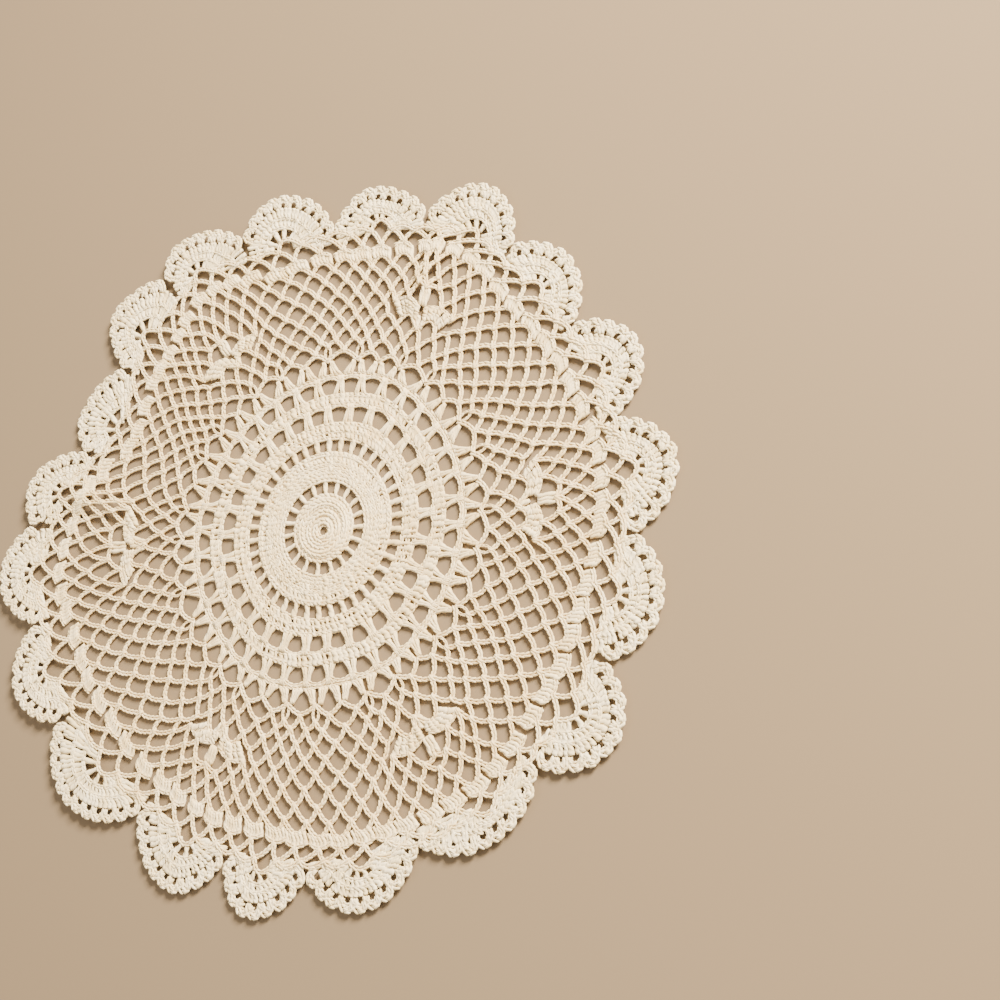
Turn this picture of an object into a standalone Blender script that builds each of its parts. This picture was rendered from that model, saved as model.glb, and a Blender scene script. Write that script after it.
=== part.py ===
"""A round crocheted lace doily in cotton, lying flat, as one openwork sheet.

Lengths are in metres where a name doesn't say millimetres. Angles are in degrees,
counter-clockwise from +X as seen from above. The origin is at the middle of the rounds,
on the surface that the doily lies on, with +Z up.
"""

import math

import bmesh
import bpy
from mathutils import Vector
from mathutils.geometry import delaunay_2d_cdt

MM = 0.001
INSIDE_WITH_HOLES = 2  # the triangulation's output that leaves holes out
WELD = 1e-7  # points nearer than this are one, in metres

# The cloth
THICKNESS = 2.0 * MM  # a cord of size 10 cotton, worked and pressed
COTTON_SRGB = (0.902, 0.863, 0.776)
COTTON_ROUGHNESS = 0.85

# Rounds of holes in the solid middle. A hole is wide_deg wide at its shoulders, where its
# arched top begins, and foot of that at its inner end.
HOLE_ROUNDS = [
    {"name": "shells", "count": 29, "first_deg": -0.6, "inner_mm": 48.2, "outer_mm": 55.0,
     "wide_deg": 8.8, "foot": 0.45, "arch": 0.30},
    {"name": "ladder", "count": 36, "first_deg": 3.2, "inner_mm": 62.4, "outer_mm": 68.4,
     "wide_deg": 6.6, "foot": 0.75, "arch": 0.12},
    {"name": "tall", "count": 36, "first_deg": 7.5, "inner_mm": 71.8, "outer_mm": 81.2,
     "wide_deg": 7.2, "foot": 0.20, "arch": 0.35},
]
SOLID_MIDDLE_MM = 12.0  # a flat triangle of this radius takes the resting face

# The net between the rounds of holes and the solid round of blocks
NET_FOOT_MM = 81.0
NET_ROWS = 4
NET_CELLS = 35
NET_FIRST_DEG = 3.4
NET_BAR_MM = 3.0  # cord left between two cells
SLANT = 0.66  # of a cord's width, given up by a cell at each corner
NET_CELL_CORNERS = [(1.0, 0.0), (0.6, -0.52), (0.0, -1.0), (-1.0, 0.0), (0.0, 1.0), (0.6, 0.52)]
HALF_BLOCK_MM = 2.8  # half of the solid round of blocks

# The fans of the edge, counter-clockwise, each from the valley before it. blocks_mm is how
# far out the solid round lies under the fan's tip, and lift_mm is how high the tip curls.
FAN_COLUMNS = ("valley_deg", "valley_mm", "tip_deg", "tip_mm", "blocks_mm", "lift_mm")
FAN_ROWS = [
    (-3.5, 146.5, 7.0, 166.3, 133.3, 0.8),
    (16.0, 140.8, 25.0, 163.2, 129.4, 1.2),
    (35.0, 140.8, 45.0, 160.2, 127.6, 0.8),
    (54.5, 147.4, 65.0, 168.1, 137.3, 2.6),
    (73.5, 147.4, 85.5, 161.4, 128.5, 1.6),
    (93.0, 140.8, 105.5, 169.4, 129.8, 2.4),
    (112.5, 154.9, 124.5, 178.2, 144.3, 4.2),
    (129.0, 165.0, 138.5, 179.1, 133.8, 4.4),
    (145.5, 150.5, 156.0, 164.1, 124.5, 1.4),
    (162.5, 148.7, 171.0, 180.0, 144.3, 5.0),
    (177.0, 170.7, 185.0, 189.2, 152.7, 5.4),
    (194.0, 164.1, 202.5, 184.4, 143.4, 4.6),
    (212.0, 162.8, 221.0, 179.1, 137.7, 3.6),
    (236.0, 150.5, 247.0, 172.0, 134.6, 1.6),
    (256.0, 148.3, 262.5, 169.0, 132.9, 1.2),
    (272.5, 147.4, 282.0, 165.4, 135.5, 1.4),
    (294.0, 144.3, 306.5, 161.5, 137.7, 1.8),
    (317.5, 148.3, 327.5, 170.7, 133.3, 1.4),
    (336.5, 148.3, 346.0, 165.4, 131.1, 0.8),
]
FANS = [dict(zip(FAN_COLUMNS, row)) for row in FAN_ROWS]
for fan, after in zip(FANS, FANS[1:] + FANS[:1]):
    fan["end_deg"] = fan["valley_deg"] + (after["valley_deg"] - fan["valley_deg"]) % 360.0
    fan["end_mm"] = after["valley_mm"]
FAN_SWELL = 0.6  # power of the sine that rounds a fan's outline
PICOTS = 10  # small loops along one fan's edge
PICOT_MM = 1.7
FAN_CURL_AT = 0.66  # how far from the blocks to the edge the curl has a point
FAN_GAPS = [  # aside is a share of the way from the tip to a valley
    {"aside": 0.0, "out_mm": 12.6, "high_mm": 7.0, "wide_mm": 6.8},
    {"aside": -0.46, "out_mm": 6.6, "high_mm": 7.0, "wide_mm": 8.2},
    {"aside": 0.46, "out_mm": 6.6, "high_mm": 7.0, "wide_mm": 8.2},
]

# Bunched net, as soft ridges that run outwards
PUCKERS = [
    {"at_deg": 69.0, "inner_mm": 100.0, "outer_mm": 146.0, "half_mm": 9.0, "high_mm": 3.4},
    {"at_deg": 171.5, "inner_mm": 104.0, "outer_mm": 158.0, "half_mm": 10.0, "high_mm": 3.6},
]


def plan(radius_mm, angle_deg):
    """A point of the plan, in metres."""
    turn = math.radians(angle_deg)
    return Vector((radius_mm * MM * math.cos(turn), radius_mm * MM * math.sin(turn)))


def smooth(share):
    """From 0 to 1 without a corner at either end."""
    share = min(max(share, 0.0), 1.0)
    return share * share * (3.0 - 2.0 * share)


def fan_over(angle_deg):
    """The fan that an angle falls in, and the angle counted on from that fan's start."""
    start = FANS[0]["valley_deg"]
    angle = start + (angle_deg - start) % 360.0
    return next(fan for fan in FANS if angle < fan["end_deg"]), angle


def edge_mm(angle_deg):
    """The foot of the picots: each fan swells from its valleys to its tip."""
    fan, angle = fan_over(angle_deg)
    valley_deg, valley_mm = fan["valley_deg"], fan["valley_mm"]
    if angle > fan["tip_deg"]:
        valley_deg, valley_mm = fan["end_deg"], fan["end_mm"]
    rise = (angle - valley_deg) / (fan["tip_deg"] - valley_deg)
    swell = math.sin(0.5 * math.pi * rise) ** FAN_SWELL
    return valley_mm + (fan["tip_mm"] - PICOT_MM - valley_mm) * swell


def between_tips(column, angle_deg):
    """A column's value at an angle, running smoothly from one fan's tip to the next."""
    fan, angle = fan_over(angle_deg)
    number = FANS.index(fan)
    other = FANS[number - 1] if angle < fan["tip_deg"] else FANS[(number + 1) % len(FANS)]
    share = abs(angle - fan["tip_deg"]) / min(
        (fan["tip_deg"] - other["tip_deg"]) % 360.0, (other["tip_deg"] - fan["tip_deg"]) % 360.0
    )
    return fan[column] + (other[column] - fan[column]) * smooth(share)


def height(point):
    """The underside's height above the surface."""
    radius_mm = point.length / MM
    angle_deg = math.degrees(math.atan2(point.y, point.x))
    blocks = between_tips("blocks_mm", angle_deg)
    out = (radius_mm - blocks) / (edge_mm(angle_deg) - blocks)
    lift = between_tips("lift_mm", angle_deg) * smooth(out)
    for fold in PUCKERS:
        aside = radius_mm * math.sin(math.radians(angle_deg - fold["at_deg"]))
        along = (radius_mm - fold["inner_mm"]) / (fold["outer_mm"] - fold["inner_mm"])
        ahead = math.cos(math.radians(angle_deg - fold["at_deg"])) > 0.0
        if ahead and abs(aside) < fold["half_mm"] and 0.0 < along < 1.0:
            crest = math.cos(0.5 * math.pi * aside / fold["half_mm"]) ** 2
            lift += fold["high_mm"] * crest * math.sin(math.pi * along)
    return lift * MM


def outline():
    """The picot edge: a peak for each picot and a notch between two."""
    loop = []
    for fan in FANS:
        for step in range(2 * PICOTS):
            share = step / (2 * PICOTS)
            angle = fan["valley_deg"] + (fan["end_deg"] - fan["valley_deg"]) * share
            loop.append(plan(edge_mm(angle) + (PICOT_MM if step % 2 else 0.0), angle))
    return loop


def round_hole(middle_deg, inner_mm, outer_mm, wide_deg, foot, arch):
    """A hole between two posts: an arched top on straight sides that close to a foot."""
    half = 0.5 * wide_deg
    shoulder = outer_mm - arch * (outer_mm - inner_mm)
    corners = [
        (outer_mm, 0.0),
        (outer_mm - 0.25 * (outer_mm - shoulder), -0.55 * half),
        (shoulder, -half),
        (inner_mm, -foot * half),
        (inner_mm, foot * half),
        (shoulder, half),
        (outer_mm - 0.25 * (outer_mm - shoulder), 0.55 * half),
    ]
    return [plan(radius, middle_deg + aside) for radius, aside in corners]


def net_top_mm(angle_deg):
    """Where the net meets the solid round of blocks."""
    return between_tips("blocks_mm", angle_deg) - HALF_BLOCK_MM


def net_hole(row, cell):
    """A cell of the net: a lozenge with a rounded top, over the joint of two cells below.

    The net stretches from its foot to the blocks, so each corner is placed by its share of
    the way at its own angle. Cords cross at a slant, so a cell gives up a little more than
    half of a cord's width at each corner.
    """
    middle_deg = NET_FIRST_DEG + (cell + 0.5 * (row % 2)) * 360.0 / NET_CELLS
    tall_mm = net_top_mm(middle_deg) - NET_FOOT_MM
    pitch = 1.0 / (NET_ROWS + 1)
    rise = (row + 1) * pitch
    half_rise = pitch - SLANT * NET_BAR_MM / tall_mm
    half_deg = 180.0 / NET_CELLS - math.degrees(
        SLANT * NET_BAR_MM / (NET_FOOT_MM + rise * tall_mm)
    )
    loop = []
    for up, aside in NET_CELL_CORNERS:
        angle = middle_deg + aside * half_deg
        share = rise + up * half_rise
        loop.append(plan(NET_FOOT_MM + share * (net_top_mm(angle) - NET_FOOT_MM), angle))
    return loop


def fan_holes(fan):
    """The gaps under a fan: one where its posts spring from, and two in the loops below."""
    loops = []
    for gap in FAN_GAPS:
        end = "end_deg" if gap["aside"] > 0.0 else "valley_deg"
        middle_deg = fan["tip_deg"] + abs(gap["aside"]) * (fan[end] - fan["tip_deg"])
        radius_mm = between_tips("blocks_mm", middle_deg) + gap["out_mm"]
        half_deg = math.degrees(0.5 * gap["wide_mm"] / radius_mm)
        half_mm = 0.5 * gap["high_mm"]
        corners = [(1.0, 0.0), (0.1, -1.0), (-1.0, 0.0), (0.1, 1.0)]
        loops.append([plan(radius_mm + up * half_mm, middle_deg + aside * half_deg)
                      for up, aside in corners])
    return loops


def holes():
    """Every gap that is cut through, as a closed loop of plan points."""
    loops = []
    for kind in HOLE_ROUNDS:
        for number in range(kind["count"]):
            middle = kind["first_deg"] + number * 360.0 / kind["count"]
            loops.append(round_hole(middle, kind["inner_mm"], kind["outer_mm"],
                                    kind["wide_deg"], kind["foot"], kind["arch"]))
    loops += [net_hole(row, cell) for row in range(NET_ROWS) for cell in range(NET_CELLS)]
    for fan in FANS:
        loops += fan_holes(fan)
    return loops


def inner_points():
    """Points on the cloth itself: a triangle for the resting face, and the fans' curl."""
    points = [plan(SOLID_MIDDLE_MM, 90.0 + 120.0 * corner) for corner in range(3)]
    for fan in FANS:
        for angle in (
            0.5 * (fan["valley_deg"] + fan["tip_deg"]),
            fan["tip_deg"],
            0.5 * (fan["tip_deg"] + fan["end_deg"]),
        ):
            blocks = between_tips("blocks_mm", angle)
            points.append(plan(blocks + FAN_CURL_AT * (edge_mm(angle) - blocks), angle))
    return points


def openwork():
    """The plan as points and triangles, with every hole left out."""
    points = []
    loops = []
    for loop in [outline()] + holes():
        loops.append(list(range(len(points), len(points) + len(loop))))
        points += loop
    found = delaunay_2d_cdt(points + inner_points(), [], loops, INSIDE_WITH_HOLES, WELD)
    return found[0], found[2]


def cloth(name):
    """The sheet: the plan raised to its underside, and again one thickness higher."""
    points, triangles = openwork()
    work = bmesh.new()
    under = [work.verts.new((p.x, p.y, height(p))) for p in points]
    upper = [work.verts.new(v.co + Vector((0.0, 0.0, THICKNESS))) for v in under]
    sides = set()
    for a, b, c in triangles:
        work.faces.new((upper[a], upper[b], upper[c]))
        work.faces.new((under[c], under[b], under[a]))
        sides |= {(a, b), (b, c), (c, a)}
    for a, b in sorted(sides):
        if (b, a) not in sides:
            work.faces.new((upper[b], upper[a], under[a], under[b]))
    mesh = bpy.data.meshes.new(name)
    work.to_mesh(mesh)
    work.free()
    return mesh


def cotton():
    """Mercerised cotton yarn, as one plain material."""
    material = bpy.data.materials.new("cream cotton")
    material.use_nodes = True
    shader = material.node_tree.nodes["Principled BSDF"]
    linear = [((c + 0.055) / 1.055) ** 2.4 for c in COTTON_SRGB]
    shader.inputs["Base Color"].default_value = (*linear, 1.0)
    shader.inputs["Roughness"].default_value = COTTON_ROUGHNESS
    shader.inputs["Metallic"].default_value = 0.0
    return material


def main():
    for obj in list(bpy.data.objects):
        bpy.data.objects.remove(obj, do_unlink=True)
    doily = bpy.data.objects.new("doily", cloth("doily"))
    doily.data.materials.append(cotton())
    bpy.context.scene.collection.objects.link(doily)


main()
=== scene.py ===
"""A round crocheted lace doily in cream cotton, laid flat: solid rounds of stitches in the
middle, a net of chain arches round them, and a border of nineteen scalloped fans.

Lengths are in millimetres until a mesh is made, and in metres in Blender. Angles are in
degrees, counter-clockwise from +X as seen from above. The origin is at the middle of the
rounds, on the surface that the doily lies on.
"""

import math

import bmesh
import bpy
import numpy as np
from bpy.props import FloatProperty, IntProperty, PointerProperty, StringProperty
from mathutils import Matrix, Vector


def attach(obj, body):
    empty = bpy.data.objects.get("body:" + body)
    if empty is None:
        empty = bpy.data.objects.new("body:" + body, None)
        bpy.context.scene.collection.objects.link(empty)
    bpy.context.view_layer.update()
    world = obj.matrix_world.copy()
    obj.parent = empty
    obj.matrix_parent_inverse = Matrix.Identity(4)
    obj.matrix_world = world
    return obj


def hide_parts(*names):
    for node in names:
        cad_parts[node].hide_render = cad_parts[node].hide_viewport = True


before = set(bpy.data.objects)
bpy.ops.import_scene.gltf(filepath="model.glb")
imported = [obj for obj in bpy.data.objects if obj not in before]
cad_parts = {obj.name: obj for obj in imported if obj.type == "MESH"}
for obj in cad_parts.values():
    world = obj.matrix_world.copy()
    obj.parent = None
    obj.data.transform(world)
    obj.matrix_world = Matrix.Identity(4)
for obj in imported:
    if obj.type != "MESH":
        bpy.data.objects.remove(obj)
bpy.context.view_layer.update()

bl_info = {
    "name": "Lace doily",
    "version": (1, 0, 0),
    "blender": (4, 5, 0),
    "location": "3D Viewport > Sidebar > Doily",
    "description": "Crochets a round cotton lace doily, stitch by stitch",
    "category": "Add Mesh",
}

MM = 0.001
# Each piece's seed for all that is uneven in it, and how much paler its cream is painted
# That paler cream is painted light: the fans and solid parts lit brighter than the net
PIECES = {
    "middle_rounds": {"seed": 11, "painted_light_share": 0.35},
    "outer_rounds": {"seed": 12, "painted_light_share": 0.25},
    "tall_round": {"seed": 13, "painted_light_share": 0.15},
    "net_inner": {"seed": 14, "painted_light_share": 0.0},
    "net_outer": {"seed": 15, "painted_light_share": 0.0},
    "net_clusters": {"seed": 16, "painted_light_share": 0.3},
    "block_round": {"seed": 17, "painted_light_share": 0.3},
    "fans_east": {"seed": 14, "painted_light_share": 0.8},
    "fans_west": {"seed": 24, "painted_light_share": 0.8},
}
NET_SEED = 5  # for the plan of the net, which four pieces share

# The fans of the edge, counter-clockwise, each from the valley before it. valley_mm and
# tip_mm are how far out the edge is there, blocks_mm is how far out the round of blocks lies
# under the tip, lift_mm is how high the tip curls, net_deg is where the last arch of the net
# under the valley has its middle, loops is how long the two rows of loops under the fan are
# worked, and foot_deg is where the fan stands on them.
FAN_COLUMNS = ("valley_deg", "valley_mm", "tip_deg", "tip_mm", "blocks_mm", "lift_mm", "net_deg",
               "loops", "foot_deg")
FAN_ROWS = [
    (-3.5, 146.5, 7.0, 166.3, 133.3, 0.5, -2.5, 1.00, 7.0),
    (16.0, 140.8, 25.0, 163.2, 129.4, 0.7, 15.3, 1.00, 25.0),
    (35.0, 140.8, 45.0, 160.2, 127.6, 0.5, 35.5, 1.00, 45.0),
    (54.5, 147.4, 64.0, 168.1, 136.2, 1.7, 57.0, 0.72, 62.3),
    (73.5, 147.4, 85.5, 161.4, 128.5, 1.0, 72.3, 1.05, 83.6),
    (93.0, 140.8, 105.5, 169.4, 129.8, 1.7, 90.5, 1.04, 104.9),
    (112.5, 154.9, 124.5, 178.2, 144.3, 2.2, 113.5, 0.90, 123.4),
    (129.0, 165.0, 138.5, 179.1, 133.8, 2.2, 129.7, 1.38, 138.5),
    (145.5, 150.5, 156.0, 164.1, 124.5, 0.9, 143.8, 0.88, 156.0),
    (162.5, 148.7, 171.0, 180.0, 144.3, 2.4, 164.0, 1.00, 171.0),
    (177.0, 170.7, 185.0, 189.2, 152.7, 2.5, 177.3, 1.12, 185.0),
    (194.0, 164.1, 202.5, 184.4, 143.4, 2.3, 193.5, 1.40, 202.5),
    (212.0, 162.8, 222.0, 179.1, 137.7, 2.0, 213.0, 1.15, 224.3),
    (236.0, 150.5, 247.0, 172.0, 134.6, 1.0, 236.5, 1.04, 247.3),
    (256.0, 148.3, 262.5, 169.0, 132.9, 0.7, 255.0, 1.07, 263.0),
    (272.5, 147.4, 282.0, 165.4, 135.5, 0.9, 274.7, 0.80, 282.7),
    (294.0, 144.3, 306.5, 161.5, 137.7, 1.1, 292.8, 0.78, 307.2),
    (317.5, 148.3, 327.5, 170.7, 133.3, 0.9, 317.0, 1.05, 327.5),
    (336.5, 148.3, 346.0, 165.4, 131.1, 0.5, 337.5, 0.97, 346.6),
]
FANS = [dict(zip(FAN_COLUMNS, row)) for row in FAN_ROWS]
for fan, after in zip(FANS, FANS[1:] + FANS[:1]):
    fan["end_deg"] = fan["valley_deg"] + (after["valley_deg"] - fan["valley_deg"]) % 360.0
    fan["end_mm"] = after["valley_mm"]
FAN_PIECES = (("fans_east", -4, 5), ("fans_west", 6, 14))  # each piece's first and last fan
FAN_SWELL = 0.66  # power of the sine that rounds a fan's outline
FAN_APART_DEG = 0.42  # from a valley to the first stitch of a fan's rim
PICOT_MM = 1.7  # how far the picots stand out of the rim
SCALLOP_MM = 7.4  # how deep the scalloped rim is, picots and all
SCALLOP_WIDE_MM = 7.0
SCALLOP_ARCH_BELOW_MM = 2.45  # how much lower a scallop's arch is than the rim is deep
LOOPS_MM = 15.2  # from the blocks to the top of the loop that a fan stands on
VALLEY_LOOP_MM = 11.2  # the same, under a valley
SIDE_LOOP_MM = 12.0  # and between the two
LOWER_LOOP_MM = 9.7  # from the blocks to the top of the first row of loops
LOWER_VALLEY_MM = 8.7  # the same, beside a valley
FAN_FOOT_MM = 3.7  # from the middle that a fan spreads from to the loop that it stands on
FAN_STITCH_MM = 2.2  # from one stitch of a fan's full rounds to the next
RIM_POINTS = 81  # from a valley to a tip, close enough for the steep swell at the valley
FAN_ROUNDS = [(0.42, 0.71), (0.71, 1.0)]  # shares of the way from the foot to the rim
FAN_SPOKES_DEG = (-56.0, -19.0, 19.0, 56.0)  # the first stitches, with slits between them
FAN_SIDE_DEG = 74.0  # from here to the flank they stand close
FAN_ROUND_FOOT = 0.44  # share of the way at which the first stitches reach the first round
FLANK_APART_DEG = 0.3  # from a valley to a fan's flank
FLANK_LEAST_MM = 4.5  # how long a flank is at the least
# How far in from the flank a fan's stitches end, in mm, by share of the way from the loops
# under the valley out to the valley
FAN_FLANK = [(0.0, 0.9), (0.3, 0.9), (0.6, 1.3), (0.8, 2.6)]

# Bunched net, as soft ridges that run outwards
PUCKERS = [
    {"at_deg": 69.0, "inner_mm": 100.0, "outer_mm": 146.0, "half_mm": 9.0, "high_mm": 3.0},
    {"at_deg": 171.5, "inner_mm": 104.0, "outer_mm": 158.0, "half_mm": 10.0, "high_mm": 3.2},
]
GATHER_MM = 2.6  # how far a pucker draws the cloth in from each side
EYE_ASIDE_MM = -1.3  # how far along Y the pin hole lies from the middle of the rounds
EYE_ASIDE_WITHIN_MM = (14.5, 2.5)  # nothing of that at the first radius, all at the second

# How far the rounds of holes are pulled out or in where the work was tugged, in mm by
# angle, and the radii between which that grows and then ends
PULLS = [(5, 0.0), (25, -0.4), (47, 0.0), (65, 2.3), (84, 0.7), (105, -0.3), (145, -0.6),
         (165, -0.4), (181, 0.8), (200, -0.4), (217, -1.0), (243, 1.2), (262, 0.6), (278, -1.1),
         (302, 1.4), (325, 0.5), (343, -0.3)]
PULLS_GROW_MM = (38.0, 54.0)
PULLS_END_MM = (66.0, 80.0)

CENTRE_MM = 2.75  # the ring of chain that the work starts from
CENTRE_LINK_MM = 2.0
STITCH_FILL = 1.27  # how wide a tall stitch is against its place in the round
STITCH_ENDS_MM = (-0.5, 0.6)  # how far its foot and its top reach out of the round
STITCH_LEAN_MM = 0.35
TIGHT_STITCH = 0.5  # how wide a stitch beside a pinhole is against the others
RIDGE_HIGH = 0.9
# How uneven those stitches are: in place and lean as shares of their pitch, in how high they
# lie in mm, and in width and thickness as shares
STITCH_UNEVEN = {"place": 0.16, "lean": 0.12, "lie_mm": 0.25, "wide": 0.17, "high": 0.14}
# The solid rounds of tall stitches: foot and top radius, and how many stitches. Pinholes is
# the share of stitches that were pulled so tight that a hole shows beside them. Over them
# lie chained ridges: their radii, how wide the chain is, and how far it stands up.
SOLID_ROUNDS = {
    "middle": {"rounds": [(3.6, 7.2, 15), (7.2, 10.9, 26), (10.9, 14.5, 36)], "pinholes": 0.0,
               "ridges": [((4.5, 6.1, 7.7, 9.3, 10.9, 12.5, 14.3), 1.45, 0.35),
                          ((4.2, 7.7, 11.7), 1.3, 0.75)]},
    "inner": {"rounds": [(22.2, 25.8, 64), (25.8, 29.8, 76), (29.8, 33.8, 88)], "pinholes": 0.1,
              "ridges": [((22.2, 24.0, 25.8, 27.8, 29.8, 33.8), 1.15, 0.25)]},
    "outer": {"rounds": [(41.2, 44.3, 108), (44.3, 47.3, 114)], "pinholes": 0.24,
              "ridges": [((41.2, 44.3, 47.3), 1.0, 0.0)]},
    "shell": {"rounds": [(56.3, 60.5, 140)], "pinholes": 0.2,
              "ridges": [((56.3, 60.5, 70.2), 1.0, 0.0)]},
}
# Where the first round of holes has its holes
FIRST_HOLES = [7.9, 26.6, 46.2, 64.5, 83.2, 102.2, 121.9, 142.6, 161.4, 179.4,
               196.6, 214.9, 234.5, 255.2, 276.3, 296.6, 314.4, 332.2, 350.3]
# Posts stand in groups between the holes: each post's foot and top, in degrees from the
# group's middle. Wide is a post's width at its foot and its top, arch_mm is how far below
# the top a hole's arch has its feet and its peak, and drift is how far groups are off their
# even places, in degrees by angle.
POST_ROUNDS = {
    "first": {"foot_mm": 14.5, "top_mm": 22.2, "posts": [(-0.5, 0.5)], "wide": (1.2, 1.12)},
    "second": {"count": 38, "first_deg": 6.195, "foot_mm": 34.0, "top_mm": 41.2,
               "posts": [(-0.2, 0.2)], "wide": (1.5, 1.45)},
    "bowl": {"count": 29, "first_deg": 5.607, "foot_mm": 47.3, "top_mm": 56.3,
             "posts": [(-2.55, -0.95), (-1.5, -0.35), (1.5, 0.35), (2.55, 0.95)],
             "wide": (1.1, 0.8), "arch_mm": (2.4, 0.3),
             "drift": [(10.0, -0.6), (60.0, 1.3), (120.0, 0.0), (210.0, 1.4), (265.0, -0.8),
                       (338.0, -2.7)]},
    "ladder": {"count": 36, "first_deg": 8.2, "foot_mm": 60.5, "top_mm": 70.2,
               "posts": [(-2.65, -0.6), (-1.5, -0.25), (1.5, 0.25), (2.65, 0.6)],
               "wide": (1.0, 0.72), "arch_mm": (3.1, 0.9)},
}
POST_FLARE = 2.1  # power of a post's bend at its foot
POST_SPREAD = 0.6  # how far it bends back out at its top, as a share of where that is
HOLE_POWER = 2.2  # of the arch over a hole with a round top
HOLE_ARCH_WIDE = 0.85
# Where small chained eyes top the forks of the tall round. Between two that lie far apart
# is a fork without one.
EYES_DEG = [3, 22, 34, 53, 65, 82, 94, 113, 124, 142, 152, 171,
            181, 199, 211, 231, 242, 262, 273, 292, 303, 321, 332, 351]
# The legs on one side of a fork in the tall round: foot as a share of the way to the next
# fork, and top in degrees
TALL_LEGS = [(0.16, 1.15), (0.3, 1.5), (0.44, 1.85)]
TALL_LEG_WIDE = (1.15, 0.66)
PLAIN_FORK_DEG = 0.35  # how much closer the tops of the legs are without an eye
FORK_FOOT_MM = 70.7
FORK_TOP_MM = 77.7
KITE_TOP_MM = 82.0
KITE_POWER = 1.6  # of the arch over a kite-shaped hole
KITE_OVER_MM = 0.3  # how far that arch lies above the cloth's middle
EYE_MM = 81.6  # the middle of an eye
EYE_HALF_MM = (3.1, 1.5)  # outwards and to the side
EYE_LINK_MM = 2.1
EYE_OVER_MM = 0.25

# The net: eight rows of arches between its foot and the blocks, as shares of the way
NET_FOOT_MM = 81.9
NET_TOP_BELOW_MM = 1.9
NET_ANCHORS_MM = (84.8, 82.3)  # on the eyes, and on the tops of the kite-shaped holes
LEVELS = (0.0, 0.123, 0.242, 0.365, 0.489, 0.616, 0.753, 0.886, 1.0)
ARCH_POWER = 2.0  # of the net's arches
ARCH_FOOT_OVER_MM = 0.35  # how far an arch lies over the one that it starts from
KNOT_HALF_MM = 0.9
KNOT_OVER_MM = 0.25
# How far off even places the arches are, in degrees and mm: in the rows below the clusters,
# in the row over them, and in the rows beyond
INNER_UNEVEN = (0.35, 0.45)
CLUSTER_UNEVEN = (0.25, 0.4)
OUTER_UNEVEN = (0.2, 0.4)
# The rows below the clusters: how far a cluster pushes its arches out, how much its own
# arch_mm and turn_deg add, and how far it spreads the cells beside it
INNER_ROWS = [
    {"swell_mm": 1.0, "arch": 0.0, "turn": 0.4, "spread_deg": 0.4},
    {"swell_mm": 1.9, "arch": 0.5, "turn": 0.35, "spread_deg": 0.5},
    {"swell_mm": 1.3, "arch": 1.0, "turn": 0.25, "spread_deg": 0.5},
    {"swell_mm": 0.6, "arch": 0.0, "turn": 0.0, "spread_deg": 0.3},
]
CELL_DEG = 6.0  # one cell of these rows
CELLS_PER_CLUSTER = 10
TURNED_DEG = 16.0  # how far to each side a cluster turns the cells about it
# Each cluster: how far it is turned from its eye, and how far out its arches and its top are
CLUSTERS = [
    {"turn_deg": 0.8, "arch_mm": -0.3, "top_mm": 0.0},
    {"turn_deg": 1.3, "arch_mm": 1.1, "top_mm": 1.6},
    {"turn_deg": 1.8, "arch_mm": -1.3, "top_mm": -2.9},
    {"turn_deg": 1.1, "arch_mm": 1.4, "top_mm": -1.2},
    {"turn_deg": 1.7, "arch_mm": 1.6, "top_mm": 1.9},
    {"turn_deg": 0.4, "arch_mm": 1.8, "top_mm": 1.2},
]
SHELL_BELOW_MM = 0.9  # from the net's last row below the clusters to a shell's top
SHELL_POSTS = 6
SHELL_DEG = (5.2, 3.7)  # from a cluster's axis to the middle of a shell, and half its width
# A shell's round top: where it is highest, how far it falls at how many degrees aside, and
# how far it stands over the cluster's top
CROWN = {"at_deg": 5.3, "aside_deg": 4.2, "fall_mm": 2.6, "over_mm": 1.3}
SHELL_FOOT_DEG = 2.2  # half the width of a shell's foot
# The thin posts under a cluster and the block on its axis: each post's foot and top in
# degrees from the middle, and for the thin ones how far they reach past the arch above
THIN_POSTS = [(-0.8, -2.2, 0.6), (0.8, 2.2, 0.6), (0.0, 0.0, 0.2)]
AXIS_POSTS = [(-0.75, -0.85), (0.0, 0.0), (0.75, 0.85)]
AXIS_BLOCK_MM = (-0.8, 7.4)  # its foot and top, from the cluster's top
# Where arches are anchored on a cluster: degrees from its axis, and mm beyond its top
CLUSTER_ANCHORS = [(-9.3, -0.9), (-5.2, 1.4), (0.0, 7.6), (5.2, 1.4), (9.3, -0.9)]
AXIS_ANCHOR = 2  # the block on the axis carries the next row's arches too
PLAIN_CLUSTER = 5  # but not this one's
AXIS_RISE_MM = 4.2  # how high the arches beside that block rise
AXIS_SHARE = 0.45  # where they do so, as a share of the way up to the block
SHELL_RISE_MM = 0.9  # how much farther out the arches over a shell's outer half reach
EVENED = 0.2  # how far the row over the clusters is moved to the blocks' spacing
UPPER_CELLS = 77  # in each row above the clusters
WIDE_FAN = 16  # the fan over five cells, where the others have four
# The last rows: how far each has gone over to the blocks' own spacing
OUTER_ROWS = (0.45, 0.75, 1.0)
BLOCK_POSTS = (-0.84, -0.5, -0.17, 0.17, 0.5, 0.84)  # as shares of half an arch's width
BLOCK_OVER_MM = 2.7  # from the radius of the round of blocks to their tops
BLOCK_SLANT = 0.14  # how far a block's top leans over, as a share of half the arch's width
BLOCK_SPREAD = (0.84, 0.9)  # how far its posts spread at their feet and at their tops

# How dark the darkest stitches and patches are against the thread's own colour
SHADE_HEX = "#EDE5D1"
PATCH_HEX = "#F1E9D8"
PATCHES_PER_M = 28.0  # unevenly bleached patches, about 36 mm across
FIBRES_PER_M = 2600.0  # loose fibres about 0.4 mm apart, coarser than real so that they show
PLY_SHARE = 0.45  # how high the plies stand against the fibres
RELIEF_MM = 0.12  # how high both stand, drawn higher than real for the same reason

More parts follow.
